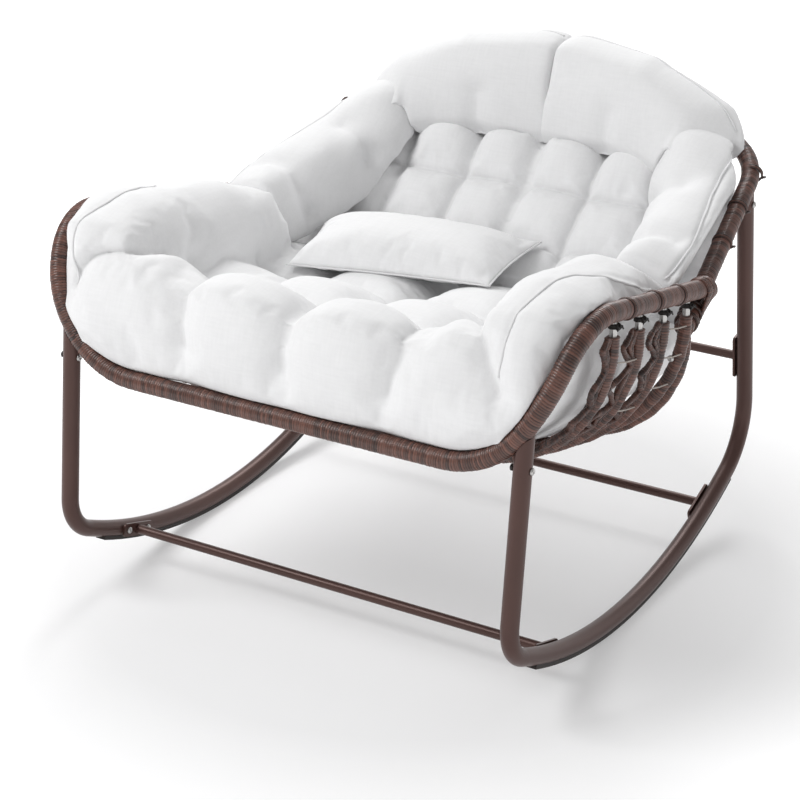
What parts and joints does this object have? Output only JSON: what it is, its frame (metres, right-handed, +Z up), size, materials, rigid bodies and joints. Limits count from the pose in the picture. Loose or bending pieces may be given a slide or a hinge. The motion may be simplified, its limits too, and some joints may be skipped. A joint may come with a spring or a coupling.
{
  "type": "rocking chair",
  "caption": "Wide rattan rocking chair: bent steel rockers carry a wicker wrapped basket that holds a deep tufted cushion and a loose lumbar pillow.",
  "frame": {"origin": "on the floor under the rockers' lowest points, midway between the side frames", "axes": "+Z up, the front of the chair faces -Y, +X to the right in the picture"},
  "size_m": [1.0126, 1.0781, 0.85],
  "materials": {
    "frame_paint": "satin espresso brown powder coat",
    "wicker": "dark brown resin wicker wrapped in fine rings",
    "rocker_strip": "dark plastic strip",
    "zinc_steel": "zinc plated",
    "dark_nuts": "dark cap nuts",
    "dark_cord": "dark cord and caps",
    "cushion_fabric": "white linen weave"
  },
  "bodies": {
    "chair": {"arm_caps": "dark_cord", "arm_stubs": "frame_paint", "back_bow": "wicker", "back_hoop": "wicker", "back_rib_1": "wicker", "back_rib_2": "wicker", "back_rib_3": "wicker", "back_rib_4": "wicker", "back_rib_5": "wicker", "bow_lashings": "dark_cord", "bow_rods": "frame_paint", "crossbar_bolts": "zinc_steel", "crossbar_front": "frame_paint", "crossbar_plates_front": "frame_paint", "crossbar_plates_rear_lower": "frame_paint", "crossbar_plates_rear_upper": "frame_paint", "crossbar_rear_lower": "frame_paint", "crossbar_rear_upper": "frame_paint", "front_spigots": "frame_paint", "post_bolts": "zinc_steel", "post_nuts": "dark_nuts", "rear_spigots": "frame_paint", "rocker_strip_left": "rocker_strip", "rocker_strip_right": "rocker_strip", "seat_bow_1": "wicker", "seat_bow_2": "wicker", "seat_bow_3": "wicker", "seat_bow_4": "wicker", "seat_rail": "wicker", "section_bolts": "zinc_steel", "section_nuts": "dark_nuts", "section_spacers": "zinc_steel", "side_frame_left": "frame_paint", "side_frame_right": "frame_paint"},
    "cushion": {"arm_bolster_left": "cushion_fabric", "arm_bolster_right": "cushion_fabric", "back_pad": "cushion_fabric", "headrest_left": "cushion_fabric", "headrest_right": "cushion_fabric", "seat_pad": "cushion_fabric", "side_wing_left": "cushion_fabric", "side_wing_right": "cushion_fabric"},
    "pillow": {"lumbar_pillow": "cushion_fabric"}
  },
  "joints": [
    {"name": "cushion_lift_off", "type": "slide", "parent": "chair", "child": "cushion", "axis": [0, 0, 1], "range_m": [0, 0.35]},
    {"name": "pillow_lift_off", "type": "slide", "parent": "cushion", "child": "pillow", "axis": [0, 0, 1], "range_m": [0, 0.25]}
  ]
}
